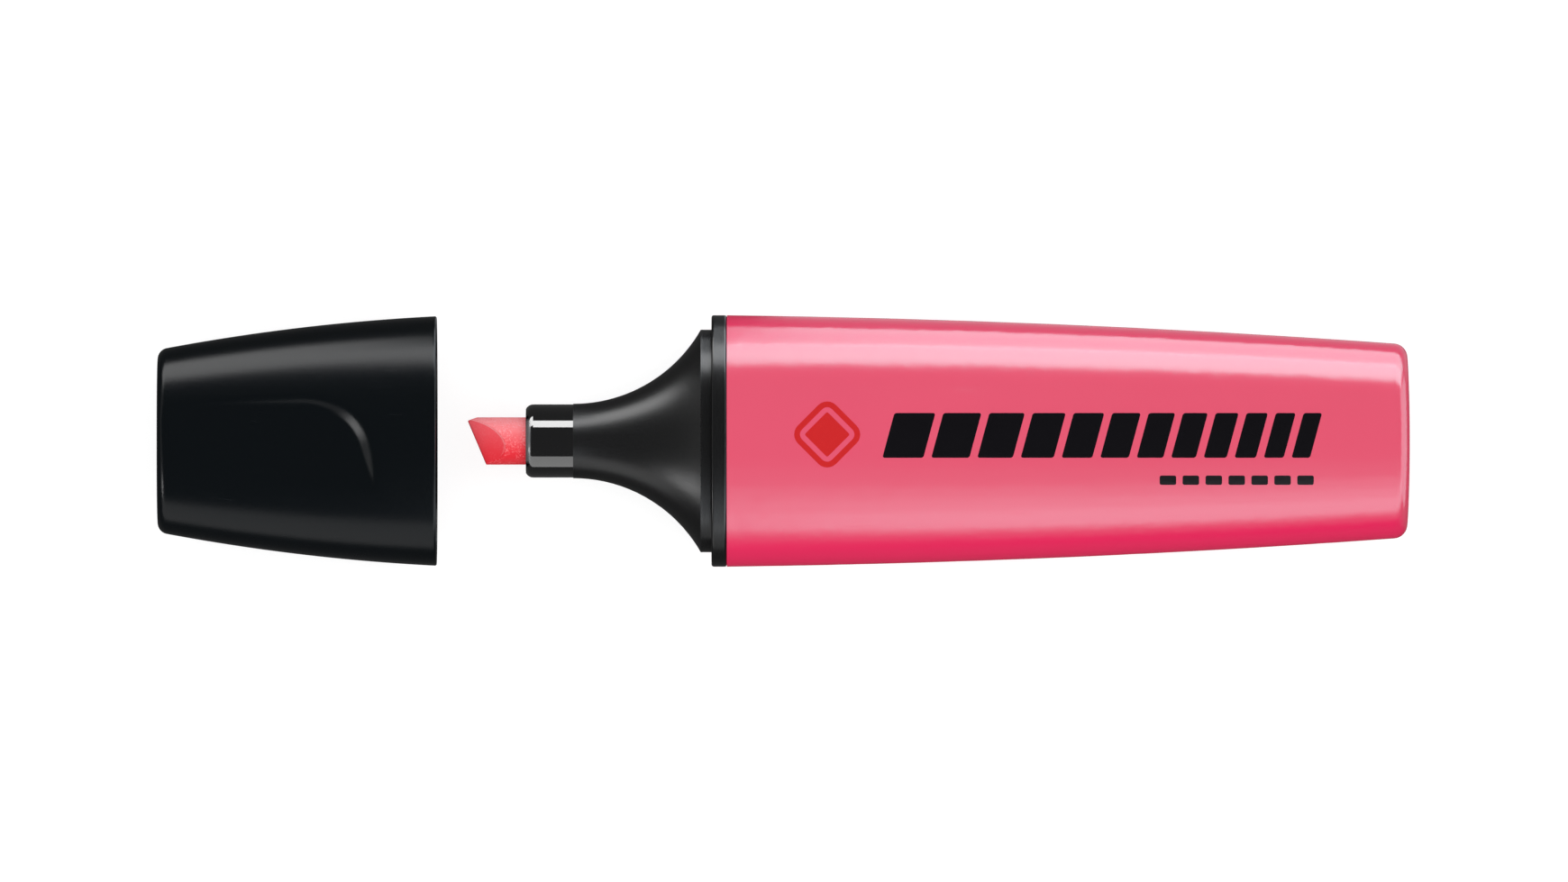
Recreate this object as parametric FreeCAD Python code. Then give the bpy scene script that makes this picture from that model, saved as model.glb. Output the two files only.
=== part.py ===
import FreeCAD, Part
import math
import os

# Highlighter with a flat oval body, a flared front, a chisel nib and a pull-off cap.
# X runs along the axis from the nib to the tail, Y across the width, Z out of the broad face.
# The origin is on the axis, in the front face of the collar, where the shut cap stops.
# All sizes are in millimetres.

# Oval sections follow |y / half_width| ** n + |z / half_height| ** n = 1.
BODY_EXPONENT = 2.35
ROUND_EXPONENT = 2.0
OVAL_POINTS = 48

# Barrel
BARREL_LENGTH = 73.25
BARREL_FRONT_WIDTH = 27.0
BARREL_FRONT_HEIGHT = 17.0
BARREL_TAIL_WIDTH = 20.7
BARREL_TAIL_HEIGHT = 12.8
BARREL_SIDE_BOW = 0.56
BARREL_FACE_BOW = 0.0
BARREL_WALL = 1.5
BARREL_TAIL_WALL = 1.6
TAIL_DOME_RADIUS = 180.0
TAIL_ROUNDING = 1.5

# Collar, cap seat and plug of the front section
COLLAR_THICKNESS = 1.65
COLLAR_ROUNDING = 0.25
SEAT_LENGTH = 1.16
PLUG_LENGTH = 7.35
PLUG_CLEARANCE = 0.03

# Flare between the cap seat and the neck
FLARE_REACH = 14.84
FLARE_STEP = 0.065
FLARE_CAVITY_REACH = 9.0
FLARE_WALL = 0.9
FLARE_WALL_SHIFT = 1.0
BOSS_WALL = 0.9
BOSS_REACH = 4.0
WEB_THICKNESS = 1.2

# Neck and nib
NIB_DIAMETER = 5.1
NIB_EXPOSED = 6.43
NIB_EDGE_SLANT = 23.0
NIB_BEVEL_ANGLE = 34.0
NIB_LAND = 1.2
NIB_CORNER_CUT_LENGTH = 1.2
NIB_CORNER_CUT_DEPTH = 0.42
HOLDER_WALL = 1.385
HOLDER_SHOULDER = 0.535
HOLDER_CLEARANCE = 0.02
NECK_LENGTH = 5.08
NECK_NOSE_LENGTH = 0.8
NECK_NOSE_DROP = 0.485
VENT_GROOVES = 6
VENT_WIDTH = 0.7
VENT_DEPTH = 0.35

# Ink reservoir and its film
RESERVOIR_FRONT = 4.0
RESERVOIR_CLEARANCE = 0.6
RESERVOIR_TAIL_GAP = 3.3
FILM_THICKNESS = 0.15
SOCKET_DEPTH = 4.5
SOCKET_CLEARANCE = 0.03
RIB_THICKNESS = 0.8
RIB_CLEARANCE = 0.05
RIB_OFFSET = 4.6
RIB_FRONT_GAP = 0.4
STOP_LENGTH = 1.5
STOP_GAP = 1.45

# Cap
CAP_OPEN_GAP = 29.5
CAP_REVEAL = 0.1
CAP_END_WIDTH = 19.6
CAP_SIDE_BOW = 0.53
CAP_FACE_BOW = 0.35
CAP_WALL = 1.37
CAP_END_WALL = 1.53
CAP_SEAT_CLEARANCE = 0.08
CAP_SEAT_EXTRA = 0.5
CAP_END_ROUNDING = 0.95
CAP_MOUTH_ROUNDING = 0.2
CAP_RIB_THICKNESS = 1.0

# Sealing cup inside the cap
SEAL_CLEARANCE = 0.05
SEAL_WALL = 0.6
SEAL_FLARE_GAP = 0.26
SEAL_SIDE_GAP = 0.165
SEAL_LEAD_LENGTH = 0.6
SEAL_LEAD_DEPTH = 0.35
SEAL_BOTTOM = 1.0
SEAL_HOLD_CLEARANCE = 0.03
TIP_CLEARANCE = 1.06

# Finger recess in both broad faces of the cap, measured from the mouth and the axis
RECESS_EDGE = 3.85
RECESS_CORNER = 9.6
RECESS_CORNER_RADIUS = 6.5
RECESS_SLANT = 18.0
RECESS_WALL_ANGLE = 30.0
RECESS_DEPTH = 0.65
RECESS_DEEP_POINT = (9.5, 4.4)
RECESS_END_POINT = (27.0, 4.4)
RECESS_LOW_POINT = (6.0, -5.2)

# Places and sizes that follow from the ones above
barrel_front = COLLAR_THICKNESS
barrel_tail = barrel_front + BARREL_LENGTH
plug_end = barrel_front + PLUG_LENGTH
flare_front = -FLARE_REACH
neck_front = flare_front - NECK_LENGTH
nib_tip = neck_front - NIB_EXPOSED
nib_radius = NIB_DIAMETER / 2
neck_radius = nib_radius + HOLDER_WALL
shank_radius = neck_radius - HOLDER_SHOULDER
flare_radius = neck_radius + FLARE_STEP
reservoir_tail = barrel_tail - BARREL_TAIL_WALL - RESERVOIR_TAIL_GAP
nib_rear = RESERVOIR_FRONT + SOCKET_DEPTH
cap_mouth = -CAP_OPEN_GAP
cap_length = -nib_tip + TIP_CLEARANCE + SEAL_BOTTOM + CAP_END_WALL
cap_end = cap_mouth - cap_length
cap_mouth_half_width = BARREL_FRONT_WIDTH / 2 - CAP_REVEAL
cap_mouth_half_height = BARREL_FRONT_HEIGHT / 2 - CAP_REVEAL
seat_half_width = cap_mouth_half_width - CAP_WALL - CAP_SEAT_CLEARANCE
seat_half_height = cap_mouth_half_height - CAP_WALL - CAP_SEAT_CLEARANCE
seal_bore_radius = neck_radius + SEAL_CLEARANCE
seal_radius = seal_bore_radius + SEAL_WALL
seal_mouth = cap_mouth + flare_front - SEAL_FLARE_GAP
seal_end = cap_end + CAP_END_WALL
cap_end_half_height = seal_radius + SEAL_SIDE_GAP + CAP_WALL + CAP_SEAT_CLEARANCE

AXIS = FreeCAD.Vector(1, 0, 0)
FAR = 60.0


def vector(x, y, z):
    return FreeCAD.Vector(x, y, z)


def bowed_taper(x_start, size_start, x_end, size_end, bow):
    """Size along X between two ends, bulging by bow halfway."""
    def size_at(x):
        share = (x - x_start) / (x_end - x_start)
        straight = size_start + (size_end - size_start) * share
        return straight + 4 * bow * share * (1 - share)
    return size_at


def flare_arc(front_size, back_size):
    """Size along the flare: an arc that leaves the neck parallel to the axis."""
    run = -SEAT_LENGTH - flare_front
    rise = back_size - front_size
    radius = (run ** 2 + rise ** 2) / (2 * rise)

    def size_at(x):
        return front_size + radius - math.sqrt(radius ** 2 - (x - flare_front) ** 2)
    return size_at


def steps(start, end, count):
    """Evenly spaced values from start to end."""
    return [start + (end - start) * index / count for index in range(count + 1)]


def oval_wire(x, half_width, half_height, exponent):
    """Closed smooth oval in the plane at x."""
    points = []
    for index in range(OVAL_POINTS):
        angle = 2 * math.pi * index / OVAL_POINTS
        across = math.cos(angle)
        up = math.sin(angle)
        scale = (abs(across) ** exponent + abs(up) ** exponent) ** (-1 / exponent)
        points.append(vector(x, half_width * across * scale, half_height * up * scale))
    parameters = [index / OVAL_POINTS for index in range(OVAL_POINTS + 1)]
    curve = Part.BSplineCurve()
    curve.interpolate(Points=points, PeriodicFlag=True, Parameters=parameters)
    return Part.Wire(curve.toShape())


def oval_loft(places, width_at, height_at, exponent_at):
    """Solid through ovals at the given places, with its half sizes given along X."""
    wires = [oval_wire(x, width_at(x), height_at(x), exponent_at(x)) for x in places]
    return Part.makeLoft(wires, True, False)


def oval_prism(x_start, x_end, half_width, half_height):
    """Straight solid of the body's oval section."""
    face = Part.Face(oval_wire(x_start, half_width, half_height, BODY_EXPONENT))
    return face.extrude(vector(x_end - x_start, 0, 0))


def rod(x_start, x_end, radius):
    """Round rod on the axis."""
    return Part.makeCylinder(radius, x_end - x_start, vector(x_start, 0, 0), AXIS)


def block(x_range, y_range, z_range):
    """Box between the given ranges."""
    sizes = [high - low for low, high in (x_range, y_range, z_range)]
    return Part.makeBox(*sizes, vector(x_range[0], y_range[0], z_range[0]))


def turned(edges):
    """Solid of revolution about X from profile edges in the XY plane."""
    return Part.Face(Part.Wire(edges)).revolve(vector(0, 0, 0), AXIS, 360)


def polyline(points):
    """Straight edges through (x, y) points."""
    corners = [vector(x, y, 0) for x, y in points]
    return [Part.makeLine(first, second) for first, second in zip(corners, corners[1:])]


def rounded_ends(solid, x_places, radius):
    """Round the closed edges that lie in the planes at the given places."""
    edges = []
    for edge in solid.Edges:
        box = edge.BoundBox
        if box.XLength < 0.01 and any(abs(box.XMin - x) < 0.01 for x in x_places):
            edges.append(edge)
    return solid.makeFillet(radius, edges)


def body_exponent(x):
    return BODY_EXPONENT


def flare_exponent(x):
    share = (x - flare_front) / (-SEAT_LENGTH - flare_front)
    return ROUND_EXPONENT + (BODY_EXPONENT - ROUND_EXPONENT) * share


barrel_width_at = bowed_taper(barrel_front, BARREL_FRONT_WIDTH / 2,
                              barrel_tail, BARREL_TAIL_WIDTH / 2, BARREL_SIDE_BOW)
barrel_height_at = bowed_taper(barrel_front, BARREL_FRONT_HEIGHT / 2,
                               barrel_tail, BARREL_TAIL_HEIGHT / 2, BARREL_FACE_BOW)
cap_width_at = bowed_taper(cap_mouth, cap_mouth_half_width,
                           cap_end, CAP_END_WIDTH / 2, CAP_SIDE_BOW)
cap_height_at = bowed_taper(cap_mouth, cap_mouth_half_height,
                            cap_end, cap_end_half_height, CAP_FACE_BOW)
flare_width_at = flare_arc(flare_radius, seat_half_width)
flare_height_at = flare_arc(flare_radius, seat_half_height)
bore_half_width = flare_width_at(-SEAT_LENGTH - FLARE_WALL_SHIFT) - FLARE_WALL
bore_half_height = flare_height_at(-SEAT_LENGTH - FLARE_WALL_SHIFT) - FLARE_WALL


def reservoir_half_size(bore_size, barrel_size_at):
    """Half size of the bare reservoir, which clears the narrowest wall round it."""
    narrowest = min(bore_size, barrel_size_at(reservoir_tail) - BARREL_WALL)
    return narrowest - RESERVOIR_CLEARANCE - FILM_THICKNESS


reservoir_half_width = reservoir_half_size(bore_half_width, barrel_width_at)
reservoir_half_height = reservoir_half_size(bore_half_height, barrel_height_at)


def inset(size_at, amount, shift=0.0):
    """The same size law, smaller by amount and moved back by shift."""
    return lambda x: size_at(x - shift) - amount


def reservoir_envelope(clearance):
    """Space taken by the wrapped reservoir, with a clearance round it."""
    grown = FILM_THICKNESS + clearance
    return oval_prism(RESERVOIR_FRONT, reservoir_tail,
                      reservoir_half_width + grown, reservoir_half_height + grown)


def reservoir_ribs(x_start, x_end):
    """Thin walls along X that hold the reservoir from above, below and both sides."""
    half = RIB_THICKNESS / 2
    ribs = [block((x_start, x_end), (-FAR, FAR), (-half, half))]
    for place in (-RIB_OFFSET, RIB_OFFSET):
        ribs.append(block((x_start, x_end), (place - half, place + half), (-FAR, FAR)))
    envelope = reservoir_envelope(RIB_CLEARANCE)
    nib_way = rod(-FAR, RESERVOIR_FRONT, nib_radius + STOP_GAP)
    return [rib.cut([envelope, nib_way]) for rib in ribs]


def make_barrel():
    """Closed-tail cup with ribs inside."""
    places = steps(barrel_front, barrel_tail, 12)
    outer = oval_loft(places, barrel_width_at, barrel_height_at, body_exponent)
    dome_centre = vector(barrel_tail - TAIL_DOME_RADIUS, 0, 0)
    outer = outer.common(Part.makeSphere(TAIL_DOME_RADIUS, dome_centre))
    tail_edges = [edge for edge in outer.Edges if edge.BoundBox.XMin > barrel_tail - 2]
    outer = outer.makeFillet(TAIL_ROUNDING, tail_edges)
    cavity_end = barrel_tail - BARREL_TAIL_WALL
    cavity = oval_loft(steps(barrel_front, cavity_end, 12), inset(barrel_width_at, BARREL_WALL),
                       inset(barrel_height_at, BARREL_WALL), body_exponent)
    ribs = reservoir_ribs(plug_end + RIB_FRONT_GAP, barrel_tail)
    return outer.cut(cavity.cut(ribs))


def make_front_section():
    """Collar, cap seat, hollow flare and the plug that enters the barrel."""
    half_width = BARREL_FRONT_WIDTH / 2
    half_height = BARREL_FRONT_HEIGHT / 2
    collar = oval_prism(0, COLLAR_THICKNESS, half_width, half_height)
    collar = rounded_ends(collar, [0, COLLAR_THICKNESS], COLLAR_ROUNDING)
    seat = oval_prism(-SEAT_LENGTH, 0, seat_half_width, seat_half_height)
    flare = oval_loft(steps(flare_front, -SEAT_LENGTH, 14),
                      flare_width_at, flare_height_at, flare_exponent)
    plug_gap = BARREL_WALL + PLUG_CLEARANCE
    plug = oval_loft(steps(barrel_front, plug_end, 3), inset(barrel_width_at, plug_gap),
                     inset(barrel_height_at, plug_gap), body_exponent)
    outer = collar.fuse([seat, flare, plug])
    return outer.cut([front_hollow(), rod(flare_front - 1, 0, shank_radius + HOLDER_CLEARANCE)])


def front_hollow():
    """Space inside the front section, less its boss, webs and reservoir ribs."""
    cone = oval_loft(steps(-FLARE_CAVITY_REACH, -SEAT_LENGTH, 8),
                     inset(flare_width_at, FLARE_WALL, FLARE_WALL_SHIFT),
                     inset(flare_height_at, FLARE_WALL, FLARE_WALL_SHIFT), flare_exponent)
    straight = oval_prism(-SEAT_LENGTH, plug_end, bore_half_width, bore_half_height)
    half_web = WEB_THICKNESS / 2
    reach = (-FLARE_CAVITY_REACH, -BOSS_REACH)
    webs = [block(reach, (-half_web, half_web), (-FAR, FAR)),
            block(reach, (-FAR, FAR), (-half_web, half_web)),
            rod(-FLARE_CAVITY_REACH, -BOSS_REACH, shank_radius + BOSS_WALL)]
    ribs = reservoir_ribs(RESERVOIR_FRONT - STOP_LENGTH, plug_end)
    return cone.fuse(straight).cut(webs + ribs)


def make_nib_holder():
    """Glossy neck with a shank that plugs into the flare, bored for the nib."""
    nose_radius = (NECK_NOSE_LENGTH ** 2 + NECK_NOSE_DROP ** 2) / (2 * NECK_NOSE_DROP)
    turn = math.asin(NECK_NOSE_LENGTH / nose_radius) / 2
    nose_back = neck_front + NECK_NOSE_LENGTH
    nose_start = vector(neck_front, neck_radius - NECK_NOSE_DROP, 0)
    nose_middle = vector(nose_back - nose_radius * math.sin(turn),
                         neck_radius - nose_radius * (1 - math.cos(turn)), 0)
    nose_end = vector(nose_back, neck_radius, 0)
    edges = [Part.Arc(nose_start, nose_middle, nose_end).toShape()]
    edges += polyline([(nose_back, neck_radius), (flare_front, neck_radius),
                       (flare_front, shank_radius), (-BOSS_REACH, shank_radius),
                       (-BOSS_REACH, nib_radius), (neck_front, nib_radius),
                       (neck_front, neck_radius - NECK_NOSE_DROP)])
    body = turned(edges)
    grooves = []
    for index in range(VENT_GROOVES):
        groove = block((neck_front, -BOSS_REACH), (0, nib_radius + VENT_DEPTH),
                       (-VENT_WIDTH / 2, VENT_WIDTH / 2))
        groove.rotate(vector(0, 0, 0), AXIS, 360 * (index + 0.5) / VENT_GROOVES)
        grooves.append(groove)
    return body.cut(grooves)


def make_nib():
    """Round fibre rod cut to a slanted chisel, its longer side at +Y."""
    slant = math.radians(NIB_EDGE_SLANT)
    edge = vector(math.sin(slant), -math.cos(slant), 0)
    inward = vector(math.cos(slant), math.sin(slant), 0)
    tip = vector(nib_tip, nib_radius, 0)
    half_land = NIB_LAND / 2
    rise = half_land + FAR * math.tan(math.radians(NIB_BEVEL_ANGLE))
    start = tip - edge * FAR
    section = [start - vector(0, 0, half_land), start + vector(0, 0, half_land),
               start + inward * FAR + vector(0, 0, rise), start + inward * FAR - vector(0, 0, rise)]
    wedge = Part.Face(Part.makePolygon(section + section[:1])).extrude(edge * (2 * FAR))
    nib = rod(nib_tip - 1, nib_rear, nib_radius).common(wedge)
    return nib.cut(nib_corner_cutter(tip))


def nib_corner_cutter(tip):
    """Prism that takes the sharp corner off the nib's longer side."""
    depth = NIB_CORNER_CUT_DEPTH
    length = NIB_CORNER_CUT_LENGTH
    start = tip + vector(-1, -depth - depth / length, -nib_radius)
    end = tip + vector(length, 0, -nib_radius)
    corner = vector(start.x, end.y + 1, -nib_radius)
    beyond = vector(end.x, end.y + 1, -nib_radius)
    outline = Part.makePolygon([start, end, beyond, corner, start])
    return Part.Face(outline).extrude(vector(0, 0, NIB_DIAMETER))


def bare_reservoir():
    """The reservoir bar without its socket."""
    return oval_prism(RESERVOIR_FRONT, reservoir_tail, reservoir_half_width, reservoir_half_height)


def make_ink_reservoir():
    """Bonded-fibre bar with a blind socket for the nib."""
    bar = bare_reservoir()
    return bar.cut(rod(RESERVOIR_FRONT, nib_rear, nib_radius + SOCKET_CLEARANCE))


def make_reservoir_film():
    """Thin wrap round the reservoir, open at both ends."""
    bar = bare_reservoir()
    return reservoir_envelope(0).cut(bar)


def cap_surface_height(place):
    """Height of the cap's broad face at (distance from the mouth, distance from the axis)."""
    along, across = place
    x = cap_mouth - along
    share = (abs(across) / cap_width_at(x)) ** BODY_EXPONENT
    return cap_height_at(x) * (1 - share) ** (1 / BODY_EXPONENT)


def recess_plane(place):
    """Height of the recess floor: a plane through three chosen points of the cap's face."""
    deep = cap_surface_height(RECESS_DEEP_POINT) - RECESS_DEPTH
    end = cap_surface_height(RECESS_END_POINT)
    low = cap_surface_height(RECESS_LOW_POINT)
    slope_along = (end - deep) / (RECESS_END_POINT[0] - RECESS_DEEP_POINT[0])
    rest = low - deep - slope_along * (RECESS_LOW_POINT[0] - RECESS_DEEP_POINT[0])
    slope_across = rest / (RECESS_LOW_POINT[1] - RECESS_DEEP_POINT[1])
    along = place[0] - RECESS_DEEP_POINT[0]
    across = place[1] - RECESS_DEEP_POINT[1]
    return deep + slope_along * along + slope_across * across


def recess_outline(rise):
    """Corners of the recess tool at a height above its floor, wider as it rises.

    The outline runs from the closed end along the step, round the corner arc (given
    by its start, middle and end), down the slanted step and back outside the cap.
    """
    grow = rise / math.tan(math.radians(RECESS_WALL_ANGLE))
    slant = math.radians(RECESS_SLANT)
    turn = math.pi / 2 - slant
    tangent = RECESS_CORNER_RADIUS * math.tan(turn / 2)
    centre = (RECESS_CORNER + tangent, RECESS_EDGE - RECESS_CORNER_RADIUS)
    radius = RECESS_CORNER_RADIUS + grow
    arc = [(centre[0] - radius * math.sin(angle), centre[1] + radius * math.cos(angle))
           for angle in (0, turn / 2, turn)]
    low_side = -cap_mouth_half_width
    foot = (arc[2][0] - (arc[2][1] - low_side) * math.tan(slant), low_side)
    places = [(cap_length, RECESS_EDGE + grow)] + arc + [foot, (cap_length, low_side)]
    return [vector(cap_mouth - along, across, recess_plane((along, across)) + rise)
            for along, across in places]


def recess_end_face(outline):
    """Flat face inside one outline of the recess tool."""
    start, arc_start, arc_middle, arc_end, foot, back = outline
    edges = [Part.makeLine(start, arc_start),
             Part.Arc(arc_start, arc_middle, arc_end).toShape(),
             Part.makeLine(arc_end, foot),
             Part.makeLine(foot, back),
             Part.makeLine(back, start)]
    return Part.Face(Part.Wire(edges))


def recess_tools():
    """Cutters for the finger recess in both broad faces."""
    low = recess_outline(0)
    high = recess_outline(2 * RECESS_DEPTH)
    faces = [recess_end_face(low), recess_end_face(high)]
    for first, second in ((0, 1), (3, 4), (4, 5), (5, 0)):
        corners = [low[first], low[second], high[second], high[first], low[first]]
        faces.append(Part.Face(Part.makePolygon(corners)))
    faces.append(Part.makeRuledSurface(Part.Arc(*low[1:4]).toShape(), Part.Arc(*high[1:4]).toShape()))
    shell = Part.makeShell(faces)
    shell.sewShape()
    upper = Part.makeSolid(shell)
    if upper.Volume < 0:
        upper.reverse()
    lower = upper.copy()
    lower.rotate(vector(0, 0, 0), AXIS, 180)
    return [upper, lower]


def make_cap_shell():
    """Cap with a straight mouth for the seat, finger recesses and ribs for the sealing cup."""
    outer = oval_loft(steps(cap_end, cap_mouth, 8), cap_width_at, cap_height_at, body_exponent)
    outer = rounded_ends(outer, [cap_end], CAP_END_ROUNDING)
    outer = rounded_ends(outer, [cap_mouth], CAP_MOUTH_ROUNDING)
    cavity = oval_loft(steps(cap_end + CAP_END_WALL, cap_mouth, 8),
                       inset(cap_width_at, CAP_WALL + CAP_SEAT_CLEARANCE),
                       inset(cap_height_at, CAP_WALL + CAP_SEAT_CLEARANCE), body_exponent)
    half = CAP_RIB_THICKNESS / 2
    reach = (cap_end, seal_mouth - SEAL_LEAD_LENGTH)
    seal_space = rod(cap_end, cap_mouth, seal_radius + SEAL_HOLD_CLEARANCE)
    ribs = [block(reach, (-FAR, FAR), (-half, half)).cut(seal_space),
            block(reach, (-half, half), (-FAR, FAR)).cut(seal_space)]
    seat = oval_prism(cap_mouth - SEAT_LENGTH - CAP_SEAT_EXTRA, cap_mouth + 1,
                      seat_half_width + CAP_SEAT_CLEARANCE, seat_half_height + CAP_SEAT_CLEARANCE)
    return outer.cut([cavity.cut(ribs), seat] + recess_tools())


def make_inner_cap():
    """Sealing cup that closes round the neck when the cap is shut."""
    bottom = seal_end + SEAL_BOTTOM
    lead_radius = seal_bore_radius + SEAL_LEAD_DEPTH
    return turned(polyline([(seal_end, 0), (seal_end, seal_radius), (seal_mouth, seal_radius),
                            (seal_mouth, lead_radius),
                            (seal_mouth - SEAL_LEAD_LENGTH, seal_bore_radius),
                            (bottom, seal_bore_radius), (bottom, 0), (seal_end, 0)]))


def main():
    """Build every piece and write one STEP file for each."""
    os.makedirs("parts", exist_ok=True)
    pieces = {
        "barrel": make_barrel(),
        "front_section": make_front_section(),
        "nib_holder": make_nib_holder(),
        "nib": make_nib(),
        "ink_reservoir": make_ink_reservoir(),
        "reservoir_film": make_reservoir_film(),
        "cap_shell": make_cap_shell(),
        "inner_cap": make_inner_cap(),
    }
    for name, shape in pieces.items():
        shape.exportStep("parts/" + name + ".step")


main()
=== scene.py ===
"""Looks of a flat oval highlighter pen that lies beside its open cap, in metres."""

import logging
import math
from dataclasses import dataclass, field
from enum import Enum
from typing import Any, Callable, Optional, Union

import bmesh
import bpy
from mathutils import Matrix, Vector, noise
from mathutils.bvhtree import BVHTree


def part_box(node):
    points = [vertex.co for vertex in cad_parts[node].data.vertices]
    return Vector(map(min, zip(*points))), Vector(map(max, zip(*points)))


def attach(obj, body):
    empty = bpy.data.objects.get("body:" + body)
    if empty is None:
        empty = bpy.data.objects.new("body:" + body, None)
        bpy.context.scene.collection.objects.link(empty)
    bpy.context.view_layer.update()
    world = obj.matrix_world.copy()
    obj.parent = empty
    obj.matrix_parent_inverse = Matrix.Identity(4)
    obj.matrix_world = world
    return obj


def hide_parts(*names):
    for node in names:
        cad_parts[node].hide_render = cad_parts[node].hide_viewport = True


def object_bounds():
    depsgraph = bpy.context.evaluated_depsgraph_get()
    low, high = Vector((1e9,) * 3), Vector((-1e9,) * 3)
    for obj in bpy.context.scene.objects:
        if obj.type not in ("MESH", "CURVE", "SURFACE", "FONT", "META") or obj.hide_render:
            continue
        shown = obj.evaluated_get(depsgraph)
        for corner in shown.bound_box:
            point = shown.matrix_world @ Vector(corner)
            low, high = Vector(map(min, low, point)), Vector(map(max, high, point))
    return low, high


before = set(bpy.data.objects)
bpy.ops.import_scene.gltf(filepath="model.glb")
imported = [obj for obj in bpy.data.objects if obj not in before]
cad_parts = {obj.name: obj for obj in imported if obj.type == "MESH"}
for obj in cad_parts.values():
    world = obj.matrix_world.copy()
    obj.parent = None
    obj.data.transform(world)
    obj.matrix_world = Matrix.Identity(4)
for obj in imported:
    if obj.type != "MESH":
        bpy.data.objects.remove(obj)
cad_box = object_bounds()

LOG = logging.getLogger("highlighter")
MM = 0.001
OVAL_EXPONENT = 2.35
WHITE = (1.0, 1.0, 1.0)
Colour = tuple[float, float, float]


class Body(Enum):
    """The rigid bodies that pieces ride on."""

    PEN = "pen"
    CAP = "cap"


class LightRole(Enum):
    """What a studio light is for."""

    EVEN = "even"
    GLOSS = "gloss"


class Signal:
    """An output of a shader node, whose arithmetic adds Math nodes."""

    def __init__(self, shader: "Shader", socket: bpy.types.NodeSocket) -> None:
        """Wrap an output socket.

        Args:
            shader: The shader that the socket belongs to.
            socket: The output to read.
        """
        self.shader = shader
        self.socket = socket

    def math(self, operation: str, first: "Value", second: "Value" = 0.0) -> "Signal":
        """Add a Math node.

        Args:
            operation: The Math node's operation.
            first: Its first value.
            second: Its second value.

        Returns:
            The node's result.
        """
        return self.shader.math(operation, first, second)

    def __add__(self, other: "Value") -> "Signal":
        """Return self + other."""
        return self.math("ADD", self, other)

    def __radd__(self, other: "Value") -> "Signal":
        """Return other + self."""
        return self.math("ADD", other, self)

    def __sub__(self, other: "Value") -> "Signal":
        """Return self - other."""
        return self.math("SUBTRACT", self, other)

    def __rsub__(self, other: "Value") -> "Signal":
        """Return other - self."""
        return self.math("SUBTRACT", other, self)

    def __mul__(self, other: "Value") -> "Signal":
        """Return self * other."""
        return self.math("MULTIPLY", self, other)

    def __rmul__(self, other: "Value") -> "Signal":
        """Return other * self."""
        return self.math("MULTIPLY", other, self)

    def ramp(self, low: float, high: float) -> "Signal":
        """Return 0 below low and 1 above high, with a smooth rise between them.

        Args:
            low: The value where the rise starts.
            high: The value where it ends.

        Returns:
            The smooth step.
        """
        settings = {"interpolation_type": "SMOOTHSTEP"}
        return self.shader.node("ShaderNodeMapRange", settings, {0: self, 1: low, 2: high})


Value = Union[Signal, float]


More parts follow.
